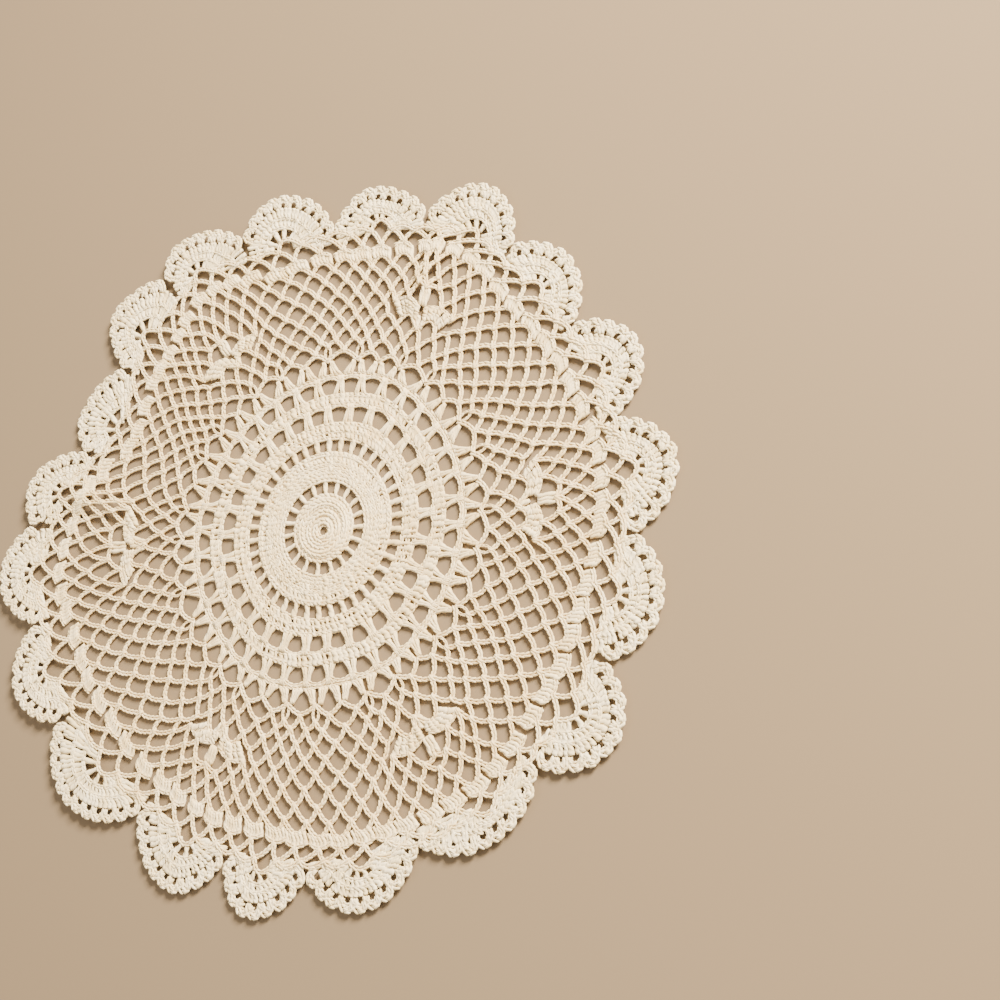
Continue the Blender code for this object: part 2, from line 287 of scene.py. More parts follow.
# The camera looks down aslant. Its axes point to its right, up and back.
CAMERA_AT = (0.361, -0.132, 0.5238)
CAMERA_AXES = ((0.8901, 0.0560, -0.4522), (0.0559, 0.9715, 0.2304), (0.4522, -0.2304, 0.8616))
LENS_MM = 52.67
FLOOR_M = 6.0
ROOM_HEX = "#FFF4E4"
ROOM_STRENGTH = 0.82
# Each lamp: its name, place, colour, size in metres and power in watts
LAMPS = (("key", (1.0, 0.95, 0.82), "#FFF1DC", 0.5, 172.0),
         ("fill", (-0.9, -0.7, 1.2), "#FFF6E8", 1.4, 9.0))


def hex_linear(text):
    """An sRGB hex colour as linear red, green, blue and alpha."""
    values = [int(text[i:i + 2], 16) / 255.0 for i in (1, 3, 5)]
    return [v / 12.92 if v <= 0.04045 else ((v + 0.055) / 1.055) ** 2.4 for v in values] + [1.0]


def smooth(value, low=0.0, high=1.0):
    """From 0 at low to 1 at high, without a corner at either end."""
    share = min(max((value - low) / (high - low), 0.0), 1.0)
    return share * share * (3.0 - 2.0 * share)


def apart(angle_deg, from_deg):
    """How far one angle is from another, by the shorter way round."""
    return (angle_deg - from_deg + 180.0) % 360.0 - 180.0


def near(angle_deg, other_deg):
    """An angle, turned by whole turns to lie nearest to another."""
    return angle_deg + 360.0 * round((other_deg - angle_deg) / 360.0)


def onward(node, after):
    """The next anchor (radius, angle), with its angle counted on from this one's."""
    return after[0], node[1] + (after[1] - node[1]) % 360.0


def axes(angle_deg):
    """Outwards at an angle, and to its left."""
    turn = math.radians(angle_deg)
    out = np.array([math.cos(turn), math.sin(turn)])
    return out, np.array([-out[1], out[0]])


def fan_over(angle_deg):
    """The fan that an angle falls in, and the angle counted on from that fan's start."""
    start = FANS[0]["valley_deg"]
    angle = start + (angle_deg - start) % 360.0
    return next(fan for fan in FANS if angle <= fan["end_deg"]), angle


def swell_mm(valley_mm, fan, rise):
    """The foot of the picots, as a fan swells from a valley (rise 0) to its tip (rise 1)."""
    swell = math.sin(0.5 * math.pi * rise) ** FAN_SWELL
    return valley_mm + (fan["tip_mm"] - PICOT_MM - valley_mm) * swell


def edge_mm(angle_deg):
    """How far out the foot of the picots is at an angle."""
    fan, angle = fan_over(angle_deg)
    valley_deg, valley_mm = fan["valley_deg"], fan["valley_mm"]
    if angle > fan["tip_deg"]:
        valley_deg, valley_mm = fan["end_deg"], fan["end_mm"]
    return swell_mm(valley_mm, fan, (angle - valley_deg) / (fan["tip_deg"] - valley_deg))


def between_tips(column, angle_deg):
    """A column's value at an angle, running smoothly from one fan's tip to the next."""
    fan, angle = fan_over(angle_deg)
    number = FANS.index(fan)
    other = FANS[number - 1] if angle < fan["tip_deg"] else FANS[(number + 1) % len(FANS)]
    share = abs(angle - fan["tip_deg"]) / abs(apart(fan["tip_deg"], other["tip_deg"]))
    return fan[column] + (other[column] - fan[column]) * smooth(share)


def underside_mm(x, y):
    """How high the cloth's underside lies over the surface."""
    radius, angle_deg = math.hypot(x, y), math.degrees(math.atan2(y, x))
    blocks = between_tips("blocks_mm", angle_deg)
    lift = between_tips("lift_mm", angle_deg) * smooth(radius, blocks, edge_mm(angle_deg))
    for fold in PUCKERS:
        turn = math.radians(angle_deg - fold["at_deg"])
        aside = radius * math.sin(turn)
        along = (radius - fold["inner_mm"]) / (fold["outer_mm"] - fold["inner_mm"])
        if math.cos(turn) > 0.0 and abs(aside) < fold["half_mm"] and 0.0 < along < 1.0:
            crest = math.cos(0.5 * math.pi * aside / fold["half_mm"]) ** 2
            lift += fold["high_mm"] * crest * math.sin(math.pi * along)
    return lift


def pull_mm(radius, angle_deg):
    """How far a point of the rounds of holes was tugged outwards."""
    stops, by = zip(*PULLS)
    share = smooth(radius, *PULLS_GROW_MM) * (1.0 - smooth(radius, *PULLS_END_MM))
    return share * float(np.interp(angle_deg, stops, by, period=360.0))


def flat_point(radius, angle_deg):
    """Where a point of the even pattern lies in plan, once gathered and tugged."""
    turn = math.radians(angle_deg)
    for fold in PUCKERS:
        along = (radius - fold["inner_mm"]) / (fold["outer_mm"] - fold["inner_mm"])
        if 0.0 < along < 1.0:
            aside = math.radians(apart(angle_deg, fold["at_deg"])) * radius / fold["half_mm"]
            drawn = GATHER_MM * aside * math.exp(0.5 * (1.0 - aside * aside))
            turn -= drawn * math.sin(math.pi * along) / radius
    radius += pull_mm(radius, angle_deg)
    aside = EYE_ASIDE_MM * smooth(radius, *EYE_ASIDE_WITHIN_MM)
    return np.array([radius * math.cos(turn), radius * math.sin(turn) + aside])


# ---------------------------------------------------------------- stitches, modelled once


def begin():
    if bpy.context.object and bpy.context.object.mode != "OBJECT":
        bpy.ops.object.mode_set(mode="OBJECT")
    bpy.ops.object.select_all(action="DESELECT")


def pick(test):
    """In edit mode, selects the points that pass the test and nothing else."""
    mesh = bmesh.from_edit_mesh(bpy.context.object.data)
    for vert in mesh.verts:
        vert.select_set(test(vert.co))
    mesh.select_flush_mode()
    bmesh.update_edit_mesh(bpy.context.object.data)


class Stitch:
    """A finished stitch as plain arrays, ready to be copied along the work. Its x runs
    from 0 to 1 over one repeat, its y and z are in millimetres, and around says which way
    each point faces across its strand, for the twist of the plies."""

    def __init__(self, repeat_mm):
        bpy.ops.object.mode_set(mode="OBJECT")
        obj = bpy.context.object
        mesh = obj.data
        self.points = np.empty(3 * len(mesh.vertices))
        mesh.vertices.foreach_get("co", self.points)
        self.points = self.points.reshape(-1, 3) / np.array([repeat_mm, 1.0, 1.0])
        self.around = np.empty(3 * len(mesh.vertices))
        mesh.vertices.foreach_get("normal", self.around)
        self.around = self.around.reshape(-1, 3)[:, 1:]
        self.corners = np.empty(len(mesh.loops), np.int32)
        mesh.loops.foreach_get("vertex_index", self.corners)
        self.sizes = np.empty(len(mesh.polygons), np.int32)
        mesh.polygons.foreach_get("loop_total", self.sizes)
        bpy.data.objects.remove(obj)
        bpy.data.meshes.remove(mesh)


def grain(long_mm, wide_mm, high_mm, around=5):
    """A plump leg of yarn lying along x, left in edit mode with all of it selected."""
    begin()
    bpy.ops.mesh.primitive_uv_sphere_add(segments=around, ring_count=4, radius=0.5,
                                         rotation=(0.0, 0.5 * math.pi, 0.0))
    bpy.ops.object.transform_apply(location=False, rotation=True, scale=True)
    bpy.ops.object.mode_set(mode="EDIT")
    bpy.ops.mesh.select_all(action="SELECT")
    bpy.ops.transform.resize(value=(long_mm, wide_mm, high_mm), center_override=(0, 0, 0))


def chain_stitch(cord_mm, link_mm):
    """One link of a chain: two plump legs that part as they come forward and go under the
    legs of the next."""
    # a leg is longer than its link, so that it reaches under the next
    grain(1.62 * link_mm, 0.54 * cord_mm, 0.68 * cord_mm)
    bpy.ops.transform.rotate(value=math.radians(-11.0), orient_axis="Z",
                             center_override=(0, 0, 0))
    bpy.ops.transform.rotate(value=math.radians(9.0), orient_axis="Y",
                             center_override=(0, 0, 0))
    bpy.ops.transform.translate(value=(0.5 * link_mm, 0.24 * cord_mm, 0.0))
    bpy.ops.mesh.duplicate()
    bpy.ops.transform.resize(value=(1.0, -1.0, 1.0), center_override=(0, 0, 0))
    bpy.ops.mesh.select_all(action="SELECT")
    bpy.ops.mesh.normals_make_consistent(inside=False)
    return Stitch(link_mm)


def post_stitch(wide_mm, high_mm, steps=5, turns=0.75, around=8):
    """The post of a double crochet: two strands wound about each other."""
    begin()
    bpy.ops.mesh.primitive_circle_add(vertices=around, radius=0.5 * wide_mm,
                                      rotation=(0.0, 0.5 * math.pi, 0.0))
    bpy.ops.object.transform_apply(location=False, rotation=True, scale=True)
    bpy.ops.object.mode_set(mode="EDIT")
    # pinched above and below, where the two strands meet
    pick(lambda co: abs(co.z) > 0.95 * 0.5 * wide_mm)
    bpy.ops.transform.resize(value=(1.0, 1.0, 0.52), center_override=(0, 0, 0))
    bpy.ops.mesh.select_all(action="SELECT")
    bpy.ops.mesh.edge_face_add()
    for _ in range(steps):
        bpy.ops.mesh.extrude_region_move(
            TRANSFORM_OT_translate={"value": (1.0 / steps, 0.0, 0.0), "orient_type": "GLOBAL"})
        bpy.ops.transform.rotate(value=2.0 * math.pi * turns / steps, orient_axis="X",
                                 center_override=(0, 0, 0))
    bpy.ops.mesh.select_all(action="SELECT")
    bpy.ops.transform.resize(value=(1.0, 1.0, high_mm / wide_mm), center_override=(0, 0, 0))
    bpy.ops.mesh.normals_make_consistent(inside=False)
    return Stitch(1.0)


def knot_stitch(yarn_mm, over_mm):
    """A single crochet over a cord: a turn of yarn that grips it."""
    begin()
    bpy.ops.mesh.primitive_torus_add(major_segments=7, minor_segments=4,
                                     major_radius=0.5 * over_mm, minor_radius=0.5 * yarn_mm,
                                     rotation=(0.0, 0.5 * math.pi, 0.0))
    bpy.ops.object.transform_apply(location=False, rotation=True, scale=True)
    bpy.ops.object.mode_set(mode="EDIT")
    bpy.ops.mesh.select_all(action="SELECT")
    # broad along the cord, and pressed flat over it
    bpy.ops.transform.resize(value=(1.5, 1.25, 0.8), center_override=(0, 0, 0))
    return Stitch(1.0)


# ---------------------------------------------------------------- laying stitches


class Path:
    """A line through the work, with its length and its direction at every point."""

    def __init__(self, points):
        self.points = np.asarray(points, float)
        steps = np.linalg.norm(np.diff(self.points, axis=0), axis=1)
        self.at = np.concatenate([[0.0], np.cumsum(steps)])
        self.length = self.at[-1]
        self.along = np.gradient(self.points, self.at, axis=0)
        self.along /= np.linalg.norm(self.along, axis=1)[:, None]

    def frames(self, at):
        inside = np.clip(at, 0.0, self.length)
        place = np.stack([np.interp(inside, self.at, self.points[:, i]) for i in range(3)], 1)
        along = np.stack([np.interp(inside, self.at, self.along[:, i]) for i in range(3)], 1)
        along /= np.linalg.norm(along, axis=1)[:, None]
        place += along * (at - inside)[:, None]
        side = np.cross([0.0, 0.0, 1.0], along)
        side /= np.linalg.norm(side, axis=1)[:, None]
        return place, side, np.cross(along, side)


class Work:
    """The stitches of one piece, gathered into one mesh."""

    def __init__(self, name):
        self.name = name
        self.points, self.corners, self.sizes, self.plies, self.shades = [], [], [], [], []
        self.count = 0
        self.chance = np.random.default_rng(PIECES[name]["seed"])

    def jitter(self, spread):
        """How far off even one stitch is worked."""
        return self.chance.uniform(-spread, spread)

    def lay(self, kind, path, start, repeat, wide=1.0, high=1.0):
        """One stitch along a path. Wide may be two widths, at its foot and its top."""
        stitch = kit()[kind]
        local = stitch.points
        place, side, up = path.frames(start + local[:, 0] * repeat)
        across = local[:, 1] * np.interp(local[:, 0], (0.0, 1.0), np.broadcast_to(wide, 2))
        points = place + side * across[:, None] + up * (local[:, 2] * high)[:, None]
        self.points.append(points)
        self.corners.append(stitch.corners + self.count)
        self.sizes.append(stitch.sizes)
        self.plies.append(np.column_stack([start + local[:, 0] * repeat, stitch.around]))
        self.shades.append(np.full(len(points), self.chance.uniform(0.0, 1.0)))
        self.count += len(points)

    def chain(self, points, wide=1.0, high=1.0, link_mm=None):
        """Links end to end along a line, as many as its length takes. Small rings have
        shorter links than the rest."""
        path = Path(points)
        links = max(1, round(path.length / (link_mm or bpy.context.scene.doily.link_mm)))
        for link in range(links):
            self.lay("link", path, link * path.length / links, path.length / links, wide, high)

    def post(self, foot, top, wide=1.0, high=1.0):
        path = Path([foot, top])
        self.lay("post", path, 0.0, path.length, wide, high)

    def bent_post(self, foot, top, wide, flare=1.5, spread=0.0):
        """A post, from one (radius, angle) to another, that flares at its foot, and at its
        top by spread."""
        line = []
        for t in np.linspace(0.0, 1.0, 6):
            angle = top[1] + (foot[1] - top[1]) * (1.0 - t) ** flare + spread * t ** 6
            line.append(lie(foot[0] + (top[0] - foot[0]) * t, angle))
        path = Path(line)
        self.lay("post", path, 0.0, path.length, wide)


def lie_at(xy, over=0.0):
    """The point at half the cloth's thickness over a point of the plan."""
    z = underside_mm(xy[0], xy[1]) + bpy.context.scene.doily.lie_mm + over
    return np.array([xy[0], xy[1], z])


def lie(radius, angle_deg, over=0.0):
    return lie_at(flat_point(radius, angle_deg), over)


def ring_line(radius, phase_deg):
    steps = max(24, int(radius))
    return [lie(radius, phase_deg + 360.0 * i / steps) for i in range(steps + 1)]


def arch_line(start, peak, end, power=ARCH_POWER, over=0.0, foot_over=0.0):
    """An arch of chain from one anchor to the next, each (radius, angle). The higher its
    power, the squarer its top."""
    line = []
    for t in np.linspace(-1.0, 1.0, 13):
        angle = start[1] + (end[1] - start[1]) * (0.5 + 0.5 * t)
        angle += (peak[1] - 0.5 * (start[1] + end[1])) * (1.0 - t * t)
        base = start[0] + (end[0] - start[0]) * (0.5 + 0.5 * t)
        rise = 1.0 - abs(t) ** power
        radius = base + (peak[0] - 0.5 * (start[0] + end[0])) * rise
        line.append(lie(radius, angle, over + foot_over * (1.0 - rise)))
    return line


# ---------------------------------------------------------------- the plan of the lace


def tall_round_plan():
    """Eyes, plain tops and the kite-shaped holes between, from one pass round the list."""
    eyes, plain, kites = [], [], []
    for eye, after in zip(EYES_DEG, EYES_DEG[1:] + EYES_DEG[:1]):
        gap = (after - eye) % 360.0
        eyes.append(float(eye))
        if gap > 15.0:
            plain.append(eye + 0.5 * gap)
            kites += [eye + 0.25 * gap, eye + 0.75 * gap]
        else:
            kites.append(eye + 0.5 * gap)
    return eyes, plain, kites


def upper_index(number):
    """How many net cells lie between the first cluster and a valley."""
    return -1.5 + 4.0 * number + (1.0 if number > WIDE_FAN else 0.0)


def tip_index(number):
    """The index of the block that a fan's base loop stands over."""
    first, last = upper_index(number), upper_index(number + 1)
    return first + math.ceil(0.5 * (last - first))


def deg_at(index, stops, degs):
    """The angle at an index of the last row of the net, where it is known at some stops."""
    turned = list(degs[:1])
    for deg in degs[1:]:
        turned.append(turned[-1] + (deg - turned[-1]) % 360.0)
    turns = math.floor((index - stops[0]) / UPPER_CELLS)
    return 360.0 * turns + float(np.interp(index - turns * UPPER_CELLS,
                                           stops + [stops[0] + UPPER_CELLS],
                                           turned + [turned[0] + 360.0]))


def net_deg(index):
    """Where the arch of the net with this index has its middle."""
    return deg_at(index, [upper_index(n) for n in range(len(FANS))],
                  [fan["net_deg"] for fan in FANS])


def fan_deg(index):
    """The same where the fans' own valleys and feet lead."""
    stops, degs = [], []
    for number, fan in enumerate(FANS):
        stops += [upper_index(number), tip_index(number)]
        degs += [fan["valley_deg"], fan["foot_deg"]]
    return deg_at(index, stops, degs)


def level_mm(level, angle_deg):
    """How far out a row of the net has its peaks, where level 0 is the net's foot."""
    blocks = between_tips("blocks_mm", angle_deg)
    return NET_FOOT_MM + LEVELS[level] * (blocks - NET_TOP_BELOW_MM - NET_FOOT_MM)


def inner_rows(chance):
    """The rows of the net below the clusters as arches (start, peak, end), the peaks of the
    last two of them, and the clusters' axes."""
    eyes, _, kites = tall_round_plan()
    nodes = [(mm, deg) for mm, degs in zip(NET_ANCHORS_MM, (eyes, kites)) for deg in degs]
    nodes.sort(key=lambda node: node[1])
    axis = [nodes[CELLS_PER_CLUSTER * c][1] for c in range(len(CLUSTERS))]
    uneven_deg, uneven_mm = INNER_UNEVEN
    rows = []
    for number, row in enumerate(INNER_ROWS):
        peaks, arches = [], []
        for j, node in enumerate(nodes):
            end = onward(node, nodes[(j + 1) % len(nodes)])
            deg = 0.5 * (node[1] + end[1]) + chance.uniform(-uneven_deg, uneven_deg)
            aside, cluster = min(((apart(deg, a), c) for a, c in zip(axis, CLUSTERS)),
                                 key=lambda item: abs(item[0]))
            cells = aside / CELL_DEG
            swell = (row["swell_mm"] + row["arch"] * cluster["arch_mm"]) * math.exp(-cells ** 2)
            radius = level_mm(number + 1, deg) + swell
            radius += chance.uniform(-uneven_mm, uneven_mm)
            deg += row["spread_deg"] * cells * math.exp(0.5 * (1.0 - cells * cells))
            deg += row["turn"] * cluster["turn_deg"] * math.exp(-(aside / TURNED_DEG) ** 2)
            peaks.append((radius, deg))
            # the last of these rows is open where the clusters stand
            if row is not INNER_ROWS[-1] or (j + 3) % CELLS_PER_CLUSTER > 2:
                arches.append((node, peaks[j], end))
        rows.append(arches)
        lower, nodes = nodes, peaks
    return rows, lower, nodes, axis


def place_clusters(rows, lower, tops, axis):
    """The clusters, each in place of three cells, and the anchors (radius, angle, tag) of
    the row above them. A tag is a cluster's number and its anchor's."""
    nodes, clusters = [], []
    for place, peak in enumerate(tops[-2:] + tops[:-2], 1):
        c, cell = divmod(place, CELLS_PER_CLUSTER)
        if cell > 2:
            nodes.append((*peak, None))
        elif cell == 1:
            centre = axis[c] + CLUSTERS[c]["turn_deg"]
            top = level_mm(len(INNER_ROWS), centre) - SHELL_BELOW_MM + CLUSTERS[c]["top_mm"]
            left = CELLS_PER_CLUSTER * c - 1
            clusters.append({"deg": centre, "top_mm": top, "low": rows[2][left][0],
                             "feet": (lower[left - 1], lower[left])})
            nodes += [(top + over, centre + aside, (c, n))
                      for n, (aside, over) in enumerate(CLUSTER_ANCHORS)]
    return clusters, nodes


def row_over_clusters(nodes, chance):
    """The row above the clusters, and its peaks, counted from the first cluster's axis."""
    uneven_deg, uneven_mm = CLUSTER_UNEVEN
    level = len(INNER_ROWS) + 1
    arches, peaks, start = [], [], 0
    for j, node in enumerate(nodes):
        after = nodes[(j + 1) % len(nodes)]
        end = onward(node, after)
        deg = 0.5 * (node[1] + end[1]) + chance.uniform(-uneven_deg, uneven_deg)
        radius = level_mm(level, deg) + chance.uniform(-uneven_mm, uneven_mm)
        if node[2] and after[2]:
            anchor = node[2][1]
            if anchor in (AXIS_ANCHOR - 1, AXIS_ANCHOR):  # beside the block on the axis
                share = AXIS_SHARE if anchor < AXIS_ANCHOR else 1.0 - AXIS_SHARE
                deg = node[1] + share * (end[1] - node[1])
                radius = 0.5 * (node[0] + end[0]) + AXIS_RISE_MM
            else:
                radius += SHELL_RISE_MM
        if node[2] and node[2][1] == AXIS_ANCHOR and node[2][0] != PLAIN_CLUSTER:
            if node[2][0] == 0:
                start = len(peaks)
            peaks.append(node[:2])
        arches.append((node[:2], len(peaks), end))
        peaks.append((radius, deg))
    degs = [peaks[start][1]]
    for _, deg in peaks[start + 1:] + peaks[:start]:
        degs.append(degs[-1] + (deg - degs[-1]) % 360.0)
    turns = 360.0 * round((net_deg(0.0) - degs[0]) / 360.0)
    degs = [deg + turns for deg in degs]
    # the peaks are moved a little towards even places, and the arches with them
    moved = [(peaks[(start + i) % len(peaks)][0], (1.0 - EVENED) * deg + EVENED * net_deg(i))
             for i, deg in enumerate(degs)]
    row = []
    for begin, number, end in arches:
        radius, deg = moved[(number - start) % len(peaks)]
        row.append((begin, (radius, near(deg, peaks[number][1])), end))
    return row, moved, degs


def net_plan(chance):
    """Every row of the net as arches (start, peak, end), and the six clusters."""
    uneven_deg, uneven_mm = OUTER_UNEVEN
    rows, lower, tops, axis = inner_rows(chance)
    clusters, nodes = place_clusters(rows, lower, tops, axis)
    row, nodes, base = row_over_clusters(nodes, chance)
    rows.append(row)
    for number, share in enumerate(OUTER_ROWS, 1):
        arches, peaks, middles = [], [], []
        for i, node in enumerate(nodes):
            turn = 360.0 if i + 1 == len(nodes) else 0.0
            after = (i + 1) % len(nodes)
            end = (nodes[after][0], nodes[after][1] + turn)
            middle = 0.5 * (base[i] + base[after] + turn)
            deg = middle * (1.0 - share) + net_deg(i + 0.5 * number) * share
            deg += chance.uniform(-uneven_deg, uneven_deg)
            radius = level_mm(len(rows) + 1, deg) + chance.uniform(-uneven_mm, uneven_mm)
            middles.append(middle)
            peaks.append((radius, deg))
            arches.append((node, (radius, deg), end))
        rows.append(arches)
        nodes, base = peaks, middles
    return rows, clusters


# ---------------------------------------------------------------- the work itself

KIT = {}


def kit():
    """The stitches, modelled the first time that one is asked for."""
    if not KIT:
        size = bpy.context.scene.doily
        KIT["link"] = chain_stitch(size.cord_mm, size.link_mm)
        KIT["post"] = post_stitch(2.0 * size.yarn_mm, 1.7 * size.yarn_mm)
        KIT["knot"] = knot_stitch(size.yarn_mm, 0.7 * size.cord_mm)
    return KIT


def finish_piece(work):
    """Makes the gathered stitches one smooth mesh. Its points know how dark their stitch
    is, where they are on their strand, and how much paler the piece is painted, as painted light."""
    begin()
    points = np.concatenate(work.points) * MM
    corners = np.concatenate(work.corners).astype(np.int32)
    sizes = np.concatenate(work.sizes).astype(np.int32)
    mesh = bpy.data.meshes.new(work.name)
    mesh.vertices.add(len(points))
    mesh.vertices.foreach_set("co", points.ravel())
    mesh.loops.add(len(corners))
    mesh.loops.foreach_set("vertex_index", corners)
    mesh.polygons.add(len(sizes))
    mesh.polygons.foreach_set("loop_start", np.concatenate([[0], np.cumsum(sizes)[:-1]]))
    mesh.polygons.foreach_set("loop_total", sizes)
    mesh.polygons.foreach_set("use_smooth", np.ones(len(sizes), bool))
    mesh.update(calc_edges=True)
    mesh.validate()
    for label, kind, field, values in (
        ("stitch_shade", "FLOAT", "value", np.concatenate(work.shades)),
        ("ply", "FLOAT_VECTOR", "vector", np.concatenate(work.plies).ravel()),
        # painted light: how much paler each piece is drawn
        ("painted_light", "FLOAT", "value", np.full(len(points), PIECES[work.name]["painted_light_share"])),
    ):
        attribute = mesh.attributes.new(label, kind, "POINT")
        attribute.data.foreach_set(field, values.astype(np.float32))
    mesh.materials.append(cotton_thread())
    obj = bpy.data.objects.new(work.name, mesh)
    bpy.context.scene.collection.objects.link(obj)
    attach(obj, "root")
    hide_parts("doily")


def lay_solid(work, solid):
    """Full rounds of tall stitches, side by side, no two of them quite alike, with chained
    ridges over them."""
    below, above = STITCH_ENDS_MM
    for foot, top, count in solid["rounds"]:
        pitch = 360.0 / count
        wide = STITCH_FILL * math.pi * (foot + top) / count
        wide /= 2.0 * bpy.context.scene.doily.yarn_mm
        for i in range(count):
            angle = pitch * (i + 0.5 + work.jitter(STITCH_UNEVEN["place"]))
            lean = math.degrees(STITCH_LEAN_MM / top)
            lean += work.jitter(STITCH_UNEVEN["lean"]) * pitch
            over = work.jitter(STITCH_UNEVEN["lie_mm"])
            tight = work.chance.uniform() < solid["pinholes"]
            thin = TIGHT_STITCH if tight else 1.0 + work.jitter(STITCH_UNEVEN["wide"])
            work.post(lie(foot + below, angle - lean, over - 0.1),
                      lie(top + above, angle + lean, over + 0.1),
                      wide * thin, 1.0 + work.jitter(STITCH_UNEVEN["high"]))
    for radii, wide, over in solid["ridges"]:
        for radius in radii:
            line = ring_line(radius, work.jitter(180.0)) + np.array([0.0, 0.0, over])
            work.chain(line, wide, RIDGE_HIGH)


def lay_posts(work, kind, middles):
    """Groups of posts between holes, under arches where the holes have round tops. The
    posts flare at both ends."""
    for middle, after in zip(middles, middles[1:] + middles[:1]):
        lean = work.jitter(0.5)
        for foot_deg, top_deg in kind["posts"]:
            work.bent_post((kind["foot_mm"], middle + foot_deg - lean),
                           (kind["top_mm"], middle + top_deg + lean), kind["wide"],
                           POST_FLARE, POST_SPREAD * top_deg)
        if "arch_mm" in kind:
            low, high = kind["arch_mm"]
            end = middle + (after - middle) % 360.0
            work.chain(arch_line((kind["top_mm"] - low, middle),
                                 (kind["top_mm"] - high + work.jitter(0.3), 0.5 * (middle + end)),
                                 (kind["top_mm"] - low, end), HOLE_POWER), HOLE_ARCH_WIDE)


def even(kind):
    """The middles of a round's groups, some a little off their even places."""
    middles = [kind["first_deg"] + 360.0 * i / kind["count"] for i in range(kind["count"])]
    stops, by = zip(*kind.get("drift", [(0.0, 0.0)]))
    return [deg + float(np.interp(deg, stops, by, period=360.0)) for deg in middles]


def lay_middle(work):
    """From the pin hole out to the solid rounds beyond the first round of holes."""
    centre = [lie(CENTRE_MM, 30.0 * i) for i in range(13)]
    work.chain(centre, 0.75, 0.8, CENTRE_LINK_MM)
    lay_solid(work, SOLID_ROUNDS["middle"])
    holes = FIRST_HOLES
    middles = [a + 0.5 * ((b - a) % 360.0) for a, b in zip(holes, holes[1:] + holes[:1])]
    lay_posts(work, POST_ROUNDS["first"], middles)
    lay_solid(work, SOLID_ROUNDS["inner"])


def lay_outer_rounds(work):
    for name in ("second", "bowl", "ladder"):
        lay_posts(work, POST_ROUNDS[name], even(POST_ROUNDS[name]))
    for name in ("outer", "shell"):
        lay_solid(work, SOLID_ROUNDS[name])


def lay_eye(work, angle_deg):
    """A small chained eye on top of a fork."""
    out, side = axes(angle_deg)
    long, wide = EYE_HALF_MM
    work.chain([lie_at((EYE_MM + long * math.cos(a)) * out + wide * math.sin(a) * side,
                       EYE_OVER_MM) for a in np.linspace(-math.pi, math.pi, 13)],
               0.56, 0.8, EYE_LINK_MM)


def lay_tall_round(work):
    """Forks of slanting legs with kite-shaped holes between, most with an eye on top."""
    eyes, plain, _ = tall_round_plan()
    forks = sorted([(deg % 360.0, True) for deg in eyes] + [(deg % 360.0, False) for deg in plain])
    for i, (deg, has_eye) in enumerate(forks):
        before, after = forks[i - 1][0], forks[(i + 1) % len(forks)][0]
        gaps = (-((deg - before) % 360.0), (after - deg) % 360.0)
        for gap in gaps:
            side = math.copysign(1.0, gap)
            for foot, top_deg in TALL_LEGS:
                if not has_eye:
                    top_deg -= PLAIN_FORK_DEG
                work.bent_post((FORK_FOOT_MM, deg + foot * gap),
                               (FORK_TOP_MM, deg + side * top_deg), TALL_LEG_WIDE)
        end = deg + gaps[1]
        middle = 0.5 * (deg + end) + work.jitter(0.4)
        work.chain(arch_line((FORK_TOP_MM, deg), (KITE_TOP_MM + work.jitter(0.5), middle),
                             (FORK_TOP_MM, end), KITE_POWER, KITE_OVER_MM))
        if has_eye:
            lay_eye(work, deg)


def lay_arches(work, arches, over=0.0, power=ARCH_POWER, knots=True):
    """Arches of chain. Knots says whether each grips the arch below where it starts."""
    for start, peak, end in arches:
        work.chain(arch_line(start, peak, end, power, over, ARCH_FOOT_OVER_MM))
        if knots:
            side = math.degrees(KNOT_HALF_MM / start[0])
            knot = Path([lie(start[0] + 0.2, start[1] - side, over + KNOT_OVER_MM),
                         lie(start[0] + 0.2, start[1] + side, over + KNOT_OVER_MM)])
            work.lay("knot", knot, 0.5 * knot.length, 1.0)


def lay_cluster(work, cluster):
    """Two lumpy shells of tall stitches over the wide holes, three thin posts in the middle
    under them, and a block on the axis above."""
    axis, top = cluster["deg"], cluster["top_mm"]
    middle_deg, half_deg = SHELL_DEG

    def crown(aside):
        share = (aside - CROWN["at_deg"]) / CROWN["aside_deg"]
        return top + CROWN["over_mm"] - CROWN["fall_mm"] * share ** 2

    for side, (arch, arch_deg) in zip((-1.0, 1.0), cluster["feet"]):
        for s in np.linspace(-1.0, 1.0, SHELL_POSTS):
            aside = middle_deg + half_deg * s
            foot_deg = axis + apart(arch_deg, axis) + SHELL_FOOT_DEG * side * s
            foot = arch - 2.0 * abs(s) ** 1.8 + 0.1  # down both sides of the arch
            top_deg = axis + side * aside + work.jitter(0.3)
            head = crown(aside) + work.jitter(0.3)
            over = work.jitter(0.3)
            middle = lie(0.5 * (foot + head) + work.jitter(0.4),
                         0.5 * (foot_deg + top_deg) + work.jitter(0.3), over + 0.3)
            work.post(lie(foot, foot_deg, over), middle, (1.25, 1.7))
            work.post(middle, lie(head, top_deg, over), (1.6, 1.8))
        work.chain([lie(crown(a) - 0.2, axis + side * a, 0.1) for a in np.linspace(1.0, 9.4, 9)],
                   0.75)
    low, low_deg = cluster["low"]
    arch = 0.5 * (cluster["feet"][0][0] + cluster["feet"][1][0])
    for foot_deg, top_deg, reach in THIN_POSTS:
        work.post(lie(low + 0.3, low_deg + foot_deg), lie(arch + reach, axis + top_deg),
                  (1.1, 1.3))
    foot, head = top + AXIS_BLOCK_MM[0], top + AXIS_BLOCK_MM[1]
    for foot_deg, top_deg in AXIS_POSTS:
        over = work.jitter(0.2)
        work.post(lie(foot, axis + foot_deg, over), lie(head, axis + top_deg, over), 1.15)


